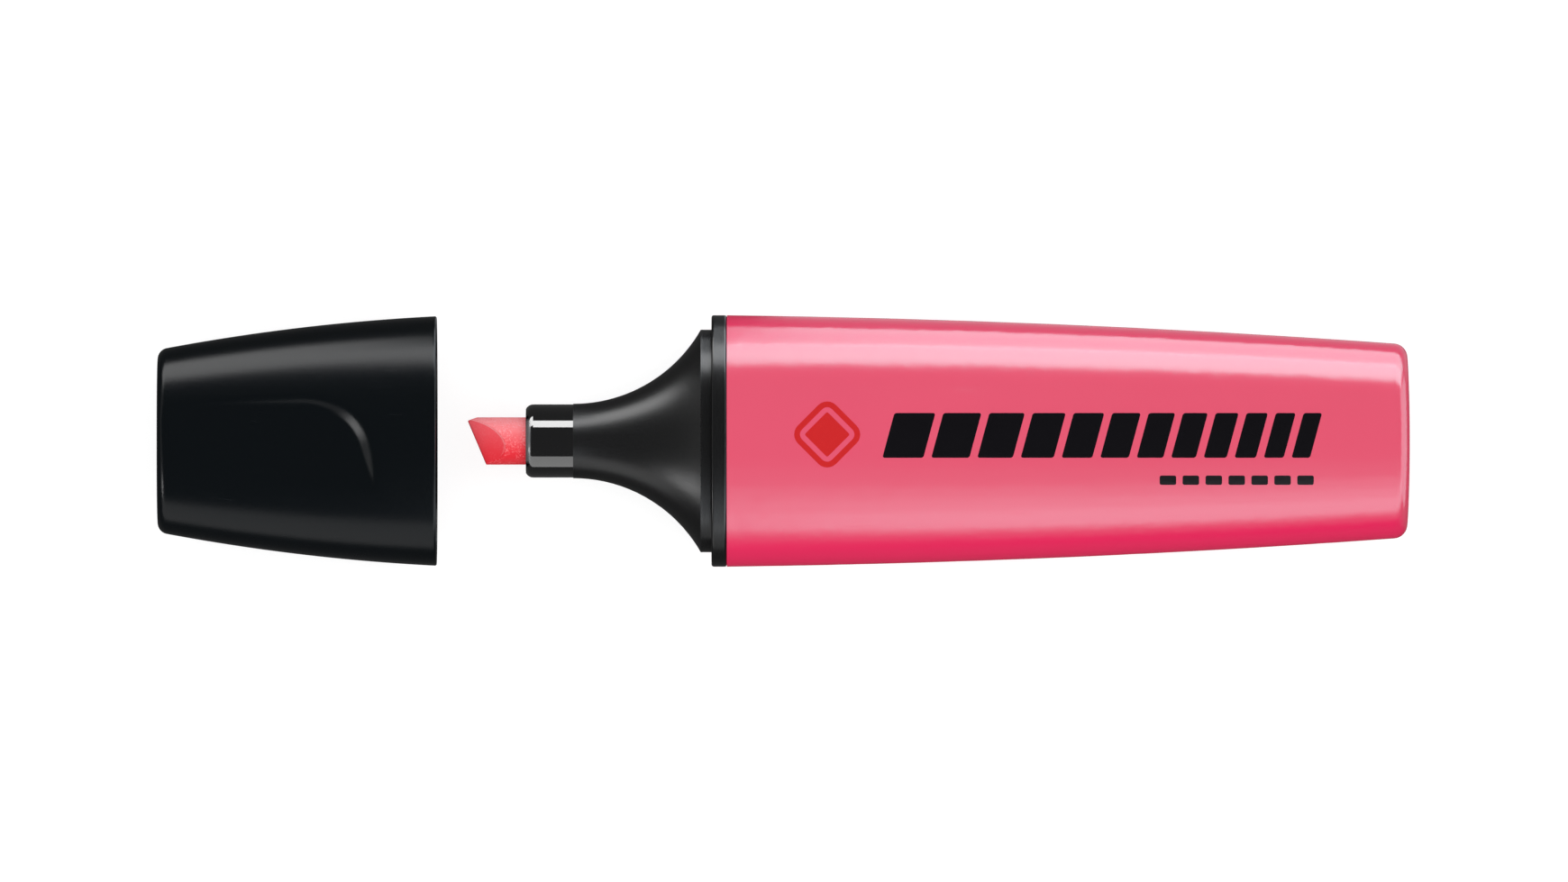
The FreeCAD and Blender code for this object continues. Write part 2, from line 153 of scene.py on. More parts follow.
class Shader:
    """A material under construction."""

    def __init__(self, name: str) -> None:
        """Start an empty material.

        Args:
            name: The material's name.
        """
        self.material = bpy.data.materials.new(name)
        self.material.use_nodes = True
        self.tree = self.material.node_tree
        self.tree.nodes.clear()
        self.place = self.node("ShaderNodeTexCoord", {}, {}, "Object")

    def node(self, kind: str, settings: dict[str, Any], inputs: dict[Any, Any],
             output: Union[int, str] = 0) -> Signal:
        """Add any node.

        Args:
            kind: The node's type.
            settings: Its properties, set before its sockets.
            inputs: Values or signals for its sockets, by name or number.
            output: The output to return, by name or number.

        Returns:
            The chosen output.
        """
        made = self.tree.nodes.new(kind)
        for key, value in settings.items():
            setattr(made, key, value)
        for key, value in inputs.items():
            if isinstance(value, Signal):
                self.tree.links.new(value.socket, made.inputs[key])
            else:
                made.inputs[key].default_value = value
        return Signal(self, made.outputs[output])

    def math(self, operation: str, first: Value, second: Value = 0.0) -> Signal:
        """Return the result of a Math node."""
        return self.node("ShaderNodeMath", {"operation": operation}, {0: first, 1: second})

    def stretched(self, factors: tuple[float, float, float]) -> Signal:
        """Return the object's coordinates, each multiplied by its factor."""
        return self.node("ShaderNodeVectorMath", {"operation": "MULTIPLY"},
                         {0: self.place, 1: factors})

    def noise(self, size: float, detail: float = 2.0, roughness: float = 0.5,
              place: Optional[Signal] = None) -> Signal:
        """Add a noise texture.

        Args:
            size: The rough size of one blotch, in metres.
            detail: How many finer layers it has.
            roughness: How strong the finer layers are.
            place: The coordinates to read instead of the object's.

        Returns:
            The noise, from 0 to 1.
        """
        inputs = {"Vector": place or self.place, "Scale": 1 / size,
                  "Detail": detail, "Roughness": roughness}
        return self.node("ShaderNodeTexNoise", {}, inputs)

    def axis(self, name: str) -> Signal:
        """Return one of the object's coordinates, named X, Y or Z."""
        return self.node("ShaderNodeSeparateXYZ", {}, {0: self.place}, name)

    def mix(self, factor: Value, first: Any, second: Any) -> Signal:
        """Blend two colours.

        Args:
            factor: 0 for the first colour, 1 for the second.
            first: The first colour or signal.
            second: The second colour or signal.

        Returns:
            The blended colour.
        """
        colours = {0: factor}
        for slot, colour in ((6, first), (7, second)):
            colours[slot] = colour if isinstance(colour, Signal) else (*colour, 1.0)
        return self.node("ShaderNodeMix", {"data_type": "RGBA"}, colours, 2)

    def bump(self, height: Value, depth: float) -> Signal:
        """Add a Bump node.

        Args:
            height: The height pattern, from 0 to 1.
            depth: The height of 1, in metres.

        Returns:
            The bent normal.
        """
        inputs = {"Strength": 1.0, "Distance": depth, "Height": height}
        return self.node("ShaderNodeBump", {}, inputs)

    def finish(self, **inputs: Any) -> bpy.types.Material:
        """Close the material with a Principled surface.

        Args:
            **inputs: Socket names with underscores for spaces, and their values.

        Returns:
            The finished material.
        """
        named = {key.replace("_", " "): value for key, value in inputs.items()}
        surface = self.node("ShaderNodeBsdfPrincipled", {}, named)
        end = self.tree.nodes.new("ShaderNodeOutputMaterial")
        self.tree.links.new(surface.socket, end.inputs["Surface"])
        return self.material


@dataclass(frozen=True)
class MouldedPlastic:
    """Injection-moulded plastic with clouding, fine grain and faint handling marks.

    Attributes:
        name: The material's name.
        colour: The colour of the plastic.
        roughness: How dull its gloss is.
        specular: How strong its gloss is.
        grain_size: The size of its grain.
        grain_depth: The height of its grain.
        clouding: How far its colour wanders either way, as a share.
        translucency: How much light passes under its surface.
    """

    name: str
    colour: Colour
    roughness: float
    specular: float
    grain_size: float
    grain_depth: float
    clouding: float = 0.04
    translucency: float = 0.0

    def material(self) -> bpy.types.Material:
        """Build the material.

        Returns:
            The finished material.
        """
        shader = Shader(self.name)
        clouds = shader.noise(9 * MM, 3.0)
        paler = tuple(part * (1 + 1.2 * self.clouding) for part in self.colour)
        deeper = tuple(part * (1 - self.clouding) for part in self.colour)
        grain = shader.noise(self.grain_size, 3.0, 0.6)
        marks = shader.noise(0.5 * MM, 2.0, 0.6, shader.stretched((0.06, 1.0, 1.0)))
        scuffs = marks.ramp(0.60, 0.75) * clouds.ramp(0.45, 0.7)
        return shader.finish(
            Base_Color=shader.mix(clouds, deeper, paler),
            Roughness=self.roughness + 0.06 * (grain - 0.5) + 0.08 * scuffs,
            Specular_IOR_Level=self.specular,
            Subsurface_Weight=self.translucency,
            Subsurface_Scale=1.5 * MM,
            Normal=shader.bump(grain, self.grain_depth))


@dataclass(frozen=True)
class PolishedNeck:
    """Mirror-polished plastic with faint clouding and a painted grey highlight, also duller, on the
    middle of its front edge.

    Attributes:
        name: The material's name.
        colour: The colour of the plastic.
        nose_highlight: The grey of the painted highlight on the front edge.
        highlight_to: The place in X where the painted highlight ends.
        highlight_half: The half width in Y of the painted highlight.
    """

    name: str
    colour: Colour
    nose_highlight: Colour
    highlight_to: float
    highlight_half: float

    def material(self) -> bpy.types.Material:
        """Build the material.

        Returns:
            The finished material.
        """
        shader = Shader(self.name)
        across = shader.axis("Y")
        # Painted highlight: the middle of the front edge turns grey and duller, standing in for a
        # reflection.
        ahead = 1.0 - shader.axis("X").ramp(self.highlight_to - 0.2 * MM, self.highlight_to)
        middle = 1.0 - (across * across).ramp((0.8 * self.highlight_half) ** 2, self.highlight_half ** 2)
        grain = shader.noise(0.4 * MM, 3.0, 0.6)
        painted_nose_highlight = ahead * middle * (0.85 + 0.3 * (grain - 0.5))
        return shader.finish(
            Base_Color=shader.mix(painted_nose_highlight, self.colour, self.nose_highlight),
            Roughness=0.06 + 0.04 * (grain - 0.5) + 0.3 * painted_nose_highlight,
            Specular_IOR_Level=1.0,
            Coat_Weight=1.0 - 0.9 * painted_nose_highlight,
            Coat_Roughness=0.05,
            Coat_IOR=1.85,
            Normal=shader.bump(grain, 0.0002 * MM))


@dataclass(frozen=True)
class SparkTexture:
    """Plastic from a spark-eroded mould: a fine pebbled satin.

    Attributes:
        name: The material's name.
        colour: The colour of the plastic.
        roughness: How dull its gloss is.
        specular: How strong its gloss is.
        pebble_size: The size of one pebble.
        pebble_depth: The height of the pebbles.
        smooth_from: The place in X where the texture starts to fade.
        smooth_to: The place in X where the texture has gone.
    """

    name: str
    colour: Colour
    roughness: float
    specular: float
    pebble_size: float
    pebble_depth: float
    smooth_from: float
    smooth_to: float

    def material(self) -> bpy.types.Material:
        """Build the material.

        Returns:
            The finished material.
        """
        shader = Shader(self.name)
        smooth = shader.axis("X").ramp(self.smooth_from, self.smooth_to)
        pebbles = shader.noise(self.pebble_size, 2.0, 0.7)
        fine = shader.noise(self.pebble_size / 3, 1.0)
        rough = pebbles * 0.7 + fine * 0.3
        dusty = tuple(part * 1.6 + 0.002 for part in self.colour)
        return shader.finish(
            Base_Color=shader.mix(pebbles.ramp(0.35, 0.75), self.colour, dusty),
            Roughness=self.roughness + 0.08 * (pebbles - 0.5) - 0.06 * smooth,
            Specular_IOR_Level=self.specular,
            Normal=shader.bump(rough * (1.0 - 0.7 * smooth), self.pebble_depth))


@dataclass(frozen=True)
class InkedFibre:
    """Bonded fibre soaked with ink: fine streaks along X with paler flecks.

    Attributes:
        name: The material's name.
        wet: The colour of the soaked fibre.
        pale: The colour of its thinner streaks.
        fleck_and_painted_highlight: The colour of dry fibre ends.
        streak_size: The width of a streak.
        bump_depth: The height of the streaks.
    """

    name: str
    wet: Colour
    pale: Colour
    fleck_and_painted_highlight: Colour
    streak_size: float
    bump_depth: float

    def material(self) -> bpy.types.Material:
        """Build the material.

        Returns:
            The finished material.
        """
        shader = Shader(self.name)
        streaks = shader.noise(self.streak_size, 3.0, 0.6, shader.stretched((0.16, 1.0, 1.0)))
        blots = shader.noise(1.6 * MM, 2.0)
        flecks = shader.noise(0.13 * MM, 2.0, 0.6).ramp(0.56, 0.66) * blots.ramp(0.4, 0.62)
        colour = shader.mix(streaks.ramp(0.3, 0.75), self.wet, self.pale)
        return shader.finish(
            Base_Color=shader.mix(flecks * 0.75, colour, self.fleck_and_painted_highlight),
            Roughness=0.62 + 0.3 * (streaks - 0.5),
            Specular_IOR_Level=0.35,
            Normal=shader.bump(streaks * 0.6 + flecks * 0.4, self.bump_depth))


@dataclass(frozen=True)
class NeonPlastic:
    """Fluorescent plastic under a gloss, with a deeper colour painted as shade where the wall turns
    sideways.

    Attributes:
        name: The material's name.
        colour: Its colour on the broad faces.
        deep: Its deeper colour on the sides, a painted shade.
    """

    name: str
    colour: Colour
    deep: Colour

    def material(self) -> bpy.types.Material:
        """Build the material.

        Returns:
            The finished material.
        """
        shader = Shader(self.name)
        # Painted shade: the colour deepens where the surface faces sideways, towards either side in
        # Y.
        facing = shader.node("ShaderNodeTexCoord", {}, {}, "Normal")
        sideways = shader.node("ShaderNodeSeparateXYZ", {}, {0: facing}, "Y")
        painted_side_shade = (sideways * sideways).ramp(0.13, 0.52)
        clouds = shader.noise(11 * MM, 3.0)
        grain = shader.noise(0.3 * MM, 3.0, 0.6)
        marks = shader.noise(0.5 * MM, 2.0, 0.6, shader.stretched((0.05, 1.0, 1.0)))
        scuffs = marks.ramp(0.62, 0.78) * clouds.ramp(0.5, 0.7)
        paler = tuple(part * 1.03 + 0.003 for part in self.colour)
        flat_colour = shader.mix(clouds, self.colour, paler)
        return shader.finish(
            Base_Color=shader.mix(painted_side_shade, flat_colour, self.deep),
            Roughness=0.19 + 0.04 * (grain - 0.5) + 0.07 * scuffs,
            Specular_IOR_Level=1.0,
            Specular_Tint=(0.35, 1.0, 1.0, 1.0),
            # Painted glow: a faint constant red emission that brightens the pink whatever the
            # lamps.
            Emission_Color=(1.0, 0.01, 0.05, 1.0), Emission_Strength=0.08,
            Normal=shader.bump(grain, 0.0004 * MM))


@dataclass(frozen=True)
class NibFibre:
    """Bonded fibre soaked with ink, smooth where it is cut and flecked on its sides, with painted
    highlights: paler towards the top and along the cut's edge.

    Attributes:
        name: The material's name.
        wet: The colour of the soaked fibre.
        wear_and_painted_highlight: The paler colour that the cut faces take towards the top, a
            painted highlight.
        fleck_and_painted_highlight: The colour of dry fibre ends, also the painted highlight on the
            upper sides and along the cut's edge.
    """

    name: str
    wet: Colour
    wear_and_painted_highlight: Colour
    fleck_and_painted_highlight: Colour

    def material(self) -> bpy.types.Material:
        """Build the material.

        Returns:
            The finished material.
        """
        shader = Shader(self.name)
        cut = shader.node("ShaderNodeAttribute", {"attribute_name": "cut"}, {}, "Fac")
        streaks = shader.noise(0.16 * MM, 3.0, 0.6, shader.stretched((0.2, 1.0, 1.0)))
        blots = shader.noise(1.2 * MM, 2.0)
        dots = shader.noise(0.2 * MM, 2.0, 0.7)
        # Painted highlight: towards +Y, the top, the nib gets more flecks, a paler cut face and
        # paler sides.
        height = shader.axis("Y").ramp(-2.4 * MM, 2.6 * MM)
        flecks = dots.ramp(0.50, 0.62) * blots.ramp(0.30, 0.55)
        flecks = flecks * (1.0 - 0.85 * cut) * (0.35 + 0.65 * height)
        cut_with_painted_highlight = shader.mix(height * 0.8 + streaks * 0.2, self.wet, self.wear_and_painted_highlight)
        rise = shader.axis("Y").ramp(-1.8 * MM, 3.2 * MM)
        sides = shader.mix(rise * (0.45 + 0.55 * streaks), self.wet, self.fleck_and_painted_highlight)
        # Painted highlight along the cut's edge, strongest at the top.
        edge = cut * (1.0 - cut) * 4.0 * height
        colour = shader.mix(edge * 0.8, shader.mix(cut, sides, cut_with_painted_highlight), self.fleck_and_painted_highlight)
        return shader.finish(
            Base_Color=shader.mix(flecks * 0.7, colour, self.fleck_and_painted_highlight),
            Roughness=0.6 + 0.2 * (streaks - 0.5) - 0.08 * cut,
            Specular_IOR_Level=0.25,
            # Painted glow: a faint constant red emission.
            Emission_Color=(1.0, 0.05, 0.06, 1.0), Emission_Strength=0.14,
            Normal=shader.bump((streaks * 0.5 + dots * 0.5) * (1.0 - 0.6 * cut), 0.03 * MM))


@dataclass(frozen=True)
class PrintInk:
    """Pad-printed ink: a thin dense film with pinholes in its gloss.

    Attributes:
        name: The material's name.
        colour: The colour of the ink.
    """

    name: str
    colour: Colour

    def material(self) -> bpy.types.Material:
        """Build the material.

        Returns:
            The finished material.
        """
        shader = Shader(self.name)
        film = shader.noise(0.12 * MM, 3.0, 0.65)
        wear_and_painted_highlight = tuple(part * 1.15 + 0.004 for part in self.colour)
        return shader.finish(
            Base_Color=shader.mix(film.ramp(0.55, 0.8), self.colour, wear_and_painted_highlight),
            Roughness=0.2 + 0.12 * (film - 0.5),
            Specular_IOR_Level=0.28,
            Normal=shader.bump(film, 0.002 * MM))


@dataclass(frozen=True)
class LitFloor:
    """A matte pale floor with a faint tooth that glows a little.

    Attributes:
        name: The material's name.
        colour: The colour of the floor.
        glow: How strongly it glows.
    """

    name: str
    colour: Colour
    glow: float

    def material(self) -> bpy.types.Material:
        """Build the material.

        Returns:
            The finished material.
        """
        shader = Shader(self.name)
        tooth = shader.noise(1.5 * MM, 3.0)
        darker = tuple(part * 0.985 for part in self.colour)
        return shader.finish(Base_Color=shader.mix(tooth, self.colour, darker),
                             Roughness=0.9, Specular_IOR_Level=0.1,
                             Emission_Color=(*WHITE, 1.0), Emission_Strength=self.glow,
                             Normal=shader.bump(tooth, 0.01 * MM))


def dress(node: str, material: bpy.types.Material) -> None:
    """Give a CAD node its material.

    Args:
        node: The CAD node's name.
        material: The material for all its slots.
    """
    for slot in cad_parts[node].material_slots:
        slot.material = material
    LOG.info("dressed %s with %s", node, material.name)


def add_piece(name: str, mesh: bmesh.types.BMesh, material: bpy.types.Material,
              body: Optional[Body] = None) -> bpy.types.Object:
    """Turn a bmesh into an object at the origin.

    Args:
        name: The object's name.
        mesh: The finished bmesh, which is freed.
        material: Its material.
        body: The body that it rides on, if it is part of the pen.

    Returns:
        The new object.
    """
    data = bpy.data.meshes.new(name)
    mesh.to_mesh(data)
    mesh.free()
    data.materials.append(material)
    made = bpy.data.objects.new(name, data)
    bpy.context.scene.collection.objects.link(made)
    if body:
        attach(made, body.value)
    LOG.info("made %s with %d faces", name, len(data.polygons))
    return made


@dataclass(frozen=True)
class Row:
    """One row of a sleeve: an oval section round X.

    Attributes:
        x: Where the row lies.
        half_width: Its half size along Y.
        half_height: Its half size along Z.
        exponent: 2 for an ellipse, more for a boxier oval.
    """

    x: float
    half_width: float
    half_height: float
    exponent: float = OVAL_EXPONENT

    def point(self, angle: float) -> Vector:
        """Find one point of the row.

        Args:
            angle: The direction of the point, from +Y towards +Z.

        Returns:
            The point.
        """
        across, up = math.cos(angle), math.sin(angle)
        total = abs(across) ** self.exponent + abs(up) ** self.exponent
        reach = total ** (-1 / self.exponent)
        return Vector((self.x, self.half_width * across * reach, self.half_height * up * reach))


def wrapped_sleeve(columns: int, rows: list[Row],
                   finish: Callable[[Vector, int], Vector]) -> bmesh.types.BMesh:
    """Wrap a grid round X, close its seam and turn its faces outwards.

    Args:
        columns: How many faces go round.
        rows: The rows from one end to the other.
        finish: Moves a point of a row, given with the row's number.

    Returns:
        The closed mesh.
    """
    mesh = bmesh.new()
    count = len(rows) - 1
    bmesh.ops.create_grid(mesh, x_segments=columns, y_segments=count, size=0.5)
    for vert in mesh.verts:
        number = round((vert.co.y + 0.5) * count)
        vert.co = finish(rows[number].point((vert.co.x + 0.5) * math.tau), number)
    bmesh.ops.remove_doubles(mesh, verts=mesh.verts, dist=0.0002 * MM)
    bmesh.ops.recalc_face_normals(mesh, faces=mesh.faces)
    return mesh


def soft_max(first: float, second: float, softness: float) -> float:
    """Return the larger value, with a rounded change from one to the other."""
    return (first + second + math.hypot(first - second, softness)) / 2


def spread(start: float, end: float, count: int) -> list[float]:
    """Return count + 1 evenly spaced values from start to end."""
    return [start + (end - start) * number / count for number in range(count + 1)]


@dataclass
class Nib:
    """The slanted chisel nib of bonded fibre.

    Attributes:
        radius: The radius of its rod.
        edge_slant: How far its edge leans from square.
        bevel_angle: How far its two faces lean from the axis.
        land: The width of the flat between the faces.
        corner_length: How much of its longer corner is taken off along X.
        corner_depth: How much is taken off across.
        softness: The rounding where two faces meet.
        fuzz: How far fibre ends stand out.
        overrun: How far its edge is set ahead of the CAD node, to make up for the rounding.
        fibre_scale: How fast its roughness varies along and across the fibres.
        columns: How many faces go round.
        tip: The place in X of its edge.
    """

    radius: float = 2.55 * MM
    edge_slant: float = math.radians(23)
    bevel_angle: float = math.radians(34)
    land: float = 1.2 * MM
    corner_length: float = 1.2 * MM
    corner_depth: float = 0.42 * MM
    softness: float = 0.14 * MM
    fuzz: float = 0.045 * MM
    overrun: float = 0.16 * MM
    fibre_scale: tuple[float, float] = (2200.0, 6500.0)
    columns: int = 224
    tip: float = field(default=0.0, init=False)

    def front(self, y: float, z: float) -> float:
        """Find the front of the nib over a point of its section.

        Args:
            y: The point's place in Y.
            z: The point's place in Z.

        Returns:
            The front's place in X.
        """
        edge = self.tip + (self.radius - y) * math.tan(self.edge_slant)
        beyond = soft_max(0.0, abs(z) - self.land / 2, self.softness)
        bevel = edge + beyond / math.tan(self.bevel_angle) / math.cos(self.edge_slant)
        steepness = self.corner_length / self.corner_depth
        corner = self.tip + (y - self.radius + self.corner_depth) * steepness
        return soft_max(bevel, corner, self.softness)

    def build(self) -> None:
        """Make the nib and put it in place of the CAD node."""
        low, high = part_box("nib")
        self.tip = low.x - self.overrun
        side = spread(0.0, 1.0, 90)
        face = spread(1.0, 0.0, 44)[1:]
        end_rows = [Row(high.x, self.radius * share, self.radius * share, 2.0)
                    for share in (0.0, 0.5)]
        rows = end_rows + [Row(share, self.radius, self.radius, 2.0) for share in side]
        rows += [Row(2.0, self.radius * share, self.radius * share, 2.0) for share in face]

        lengthways, crossways = self.fibre_scale

        def shape(point: Vector, number: int) -> Vector:
            """Move a point to the side or to the cut front of the nib.

            Args:
                point: A point whose X is its share of the way to the front, or 2 on the front.
                number: The number of its row.

            Returns:
                The moved point.
            """
            if number < len(end_rows):
                return point
            front = self.front(point.y, point.z)
            grown = 1 - (1 - min(1.0, point.x)) ** 1.5
            x = high.x + (front - high.x) * grown
            place = Vector((x, point.y, point.z))
            rough = noise.fractal(Vector((x * lengthways, point.y * crossways,
                                          point.z * crossways)), 1.0, 2.0, 3)
            if point.x < 1:
                inwards = Vector((0.0, point.y, point.z)) / self.radius
                return place - inwards * self.fuzz * abs(rough)
            return place + Vector((self.fuzz * 0.3 * rough, 0.0, 0.0))

        mesh = wrapped_sleeve(self.columns, rows, shape)
        cut = mesh.verts.layers.float.new("cut")
        for vert in mesh.verts:
            inside = self.radius - math.hypot(vert.co.y, vert.co.z)
            vert[cut] = min(1.0, max(0.0, (inside - 0.06 * MM) / (0.12 * MM)))
        # The second colour is the cut faces' painted highlight; the third is the flecks' colour and
        # the painted highlight on the upper sides and the cut's edge.
        fibre = NibFibre("inked_nib_fibre", (0.78, 0.014, 0.03), (0.93, 0.14, 0.17),
                         (0.98, 0.42, 0.45))
        nib = add_piece("chisel_nib", mesh, fibre.material(), Body.PEN)
        nib.data.shade_smooth()
        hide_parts("nib")


@dataclass(frozen=True)
class PrintedShape:
    """A flat outline for the barrel's print.

    Attributes:
        corners: Its corners in X and Y.
        rounding: The radius of its corners.
        rings: Insets that leave every second ring empty.
    """

    corners: tuple[tuple[float, float], ...]
    rounding: float
    rings: tuple[float, ...] = ()


@dataclass
class BarrelPrint:
    """Plain printed shapes on the barrel's upper face."""

    thickness: float = 0.02 * MM
    badge_place: tuple[float, float] = (12.4 * MM, 0.7 * MM)
    badge_reach: float = 4.1 * MM
    badge_rounding: float = 1.35 * MM
    badge_rings: tuple[float, float] = (0.62 * MM, 0.55 * MM)
    stripe_start: float = 18.3 * MM
    stripe_end: float = 65.4 * MM
    stripe_range: tuple[float, float] = (-1.8 * MM, 3.0 * MM)
    stripe_count: int = 12
    stripe_gap: float = 0.85 * MM
    stripe_shrink: float = 0.93
    stripe_lean: float = 1.3 * MM
    stripe_rounding: float = 0.25 * MM
    dash_start: float = 48.0 * MM
    dash_end: float = 65.2 * MM
    dash_range: tuple[float, float] = (-4.7 * MM, -3.7 * MM)
    dash_count: int = 7
    dash_share: float = 0.72
    dash_rounding: float = 0.2 * MM
    strip_widths: tuple[float, float] = (2.0 * MM, 0.5 * MM)

    def badge(self) -> list[PrintedShape]:
        """Draw a diamond frame round a smaller diamond.

        Returns:
            Its one outline.
        """
        x, y = self.badge_place
        reach = self.badge_reach
        corners = ((x - reach, y), (x, y - reach), (x + reach, y), (x, y + reach))
        return [PrintedShape(corners, self.badge_rounding, self.badge_rings)]

    def stripes(self) -> list[PrintedShape]:
        """Draw leaning stripes that get narrower towards the tail.

        Returns:
            One outline for each stripe.
        """
        low, high = self.stripe_range
        shares = [self.stripe_shrink ** number for number in range(self.stripe_count)]
        room = self.stripe_end - self.stripe_start - self.stripe_lean
        room -= self.stripe_gap * (self.stripe_count - 1)
        start = self.stripe_start
        shapes = []
        for share in shares:
            end = start + room * share / sum(shares)
            corners = ((start, low), (end, low), (end + self.stripe_lean, high),
                       (start + self.stripe_lean, high))
            shapes.append(PrintedShape(corners, self.stripe_rounding))
            start = end + self.stripe_gap
        return shapes

    def dashes(self) -> list[PrintedShape]:
        """Draw a row of small dashes.

        Returns:
            One outline for each dash.
        """
        low, high = self.dash_range
        pitch = (self.dash_end - self.dash_start) / self.dash_count
        shapes = []
        for number in range(self.dash_count):
            start = self.dash_start + pitch * number
            end = start + pitch * self.dash_share
            corners = ((start, low), (end, low), (end, high), (start, high))
            shapes.append(PrintedShape(corners, self.dash_rounding))
        return shapes

    def stamp(self, name: str, shapes: list[PrintedShape], ink: PrintInk, tree: BVHTree) -> None:
        """Lay shapes on the barrel as a thin closed film.

        Args:
            name: The piece's name.
            shapes: The outlines.
            ink: Their finish.
            tree: The barrel's surface.
        """
        mesh = bmesh.new()
        for shape in shapes:
            self.add_outline(mesh, shape)
        for axis, width in enumerate(self.strip_widths):
            self.slice(mesh, axis, width)
        for vert in mesh.verts:
            above = Vector((vert.co.x, vert.co.y, 1.0))
            vert.co = tree.ray_cast(above, Vector((0.0, 0.0, -1.0)))[0]
            vert.co.z -= self.thickness / 4
        grown = bmesh.ops.extrude_face_region(mesh, geom=mesh.faces[:], use_keep_orig=True)
        upper = [part for part in grown["geom"] if isinstance(part, bmesh.types.BMVert)]
        bmesh.ops.translate(mesh, verts=upper, vec=(0.0, 0.0, self.thickness))
        bmesh.ops.recalc_face_normals(mesh, faces=mesh.faces)
        add_piece(name, mesh, ink.material(), Body.PEN)

    def add_outline(self, mesh: bmesh.types.BMesh, shape: PrintedShape) -> None:
        """Add one outline with rounded corners and its empty rings.

        Args:
            mesh: The bmesh to add it to.
            shape: The outline.
        """
        corners = [mesh.verts.new((x, y, 0.0)) for x, y in shape.corners]
        mesh.faces.new(corners)
        rounded = bmesh.ops.bevel(mesh, geom=corners, offset=shape.rounding, affect="VERTICES",
                                  segments=6, profile=0.5, material=-1, offset_type="OFFSET")
        face = rounded["verts"][0].link_faces[0]
        for number, width in enumerate(shape.rings):
            ring = bmesh.ops.inset_region(mesh, faces=[face], thickness=width, use_boundary=True,
                                          use_even_offset=True)["faces"]
            if number % 2:
                bmesh.ops.delete(mesh, geom=ring, context="FACES")

    def slice(self, mesh: bmesh.types.BMesh, axis: int, width: float) -> None:
        """Cut the flat shapes into strips that can follow the barrel.

        Args:
            mesh: The bmesh that holds the shapes.
            axis: 0 to cut across X, 1 to cut across Y.
            width: The width of a strip.
        """
        values = [vert.co[axis] for vert in mesh.verts]
        normal = Vector((1.0, 0.0, 0.0)) if axis == 0 else Vector((0.0, 1.0, 0.0))
        place = min(values) + width
        while place < max(values):
            geom = mesh.verts[:] + mesh.edges[:] + mesh.faces[:]
            bmesh.ops.bisect_plane(mesh, geom=geom, plane_co=normal * place, plane_no=normal)
            place += width

    def build(self) -> None:
        """Stamp every mark."""
        barrel = bmesh.new()
        barrel.from_mesh(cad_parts["barrel"].data)
        tree = BVHTree.FromBMesh(barrel)
        barrel.free()
        black = PrintInk("black_print", (0.004, 0.0035, 0.005))
        red = PrintInk("red_print", (0.66, 0.012, 0.014))
        self.stamp("badge_print", self.badge(), red, tree)
        self.stamp("stripe_print", self.stripes(), black, tree)
        self.stamp("dash_print", self.dashes(), black, tree)


@dataclass
class Pen:
    """The barrel, the front section with its neck, and the ink store."""

    def build(self) -> None:
        """Dress the CAD nodes of the pen, then add its nib and its print."""
        grip = SparkTexture("pebbled_black_plastic", (0.0035, 0.0035, 0.0038), 0.30, 0.6,
                            0.12 * MM, 0.010 * MM, -1.3 * MM, -0.9 * MM)
        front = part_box("nib_holder")[0].x
        # Its grey is the painted highlight on the neck's front edge.
        neck = PolishedNeck("polished_black_plastic", (0.002, 0.002, 0.0025),
                            (0.16, 0.165, 0.17), front + 0.62 * MM, 2.5 * MM)
        fibre = InkedFibre("inked_reservoir_fibre", (0.7, 0.02, 0.1), (0.85, 0.2, 0.35),
                           (0.95, 0.6, 0.7), 0.2 * MM, 0.05 * MM)
        film = MouldedPlastic("clear_wrap_film", (0.85, 0.8, 0.82), 0.12, 0.5,
                              0.3 * MM, 0.001 * MM)
        # The second colour is the painted shade on the barrel's sides.
        barrel = NeonPlastic("fluorescent_pink_plastic", (0.79, 0.074, 0.152),
                             (0.90, 0.013, 0.115))
        dress("barrel", barrel.material())
        dress("front_section", grip.material())
        dress("nib_holder", neck.material())
        dress("ink_reservoir", fibre.material())
        dress("reservoir_film", film.material())
        Nib().build()
        BarrelPrint().build()


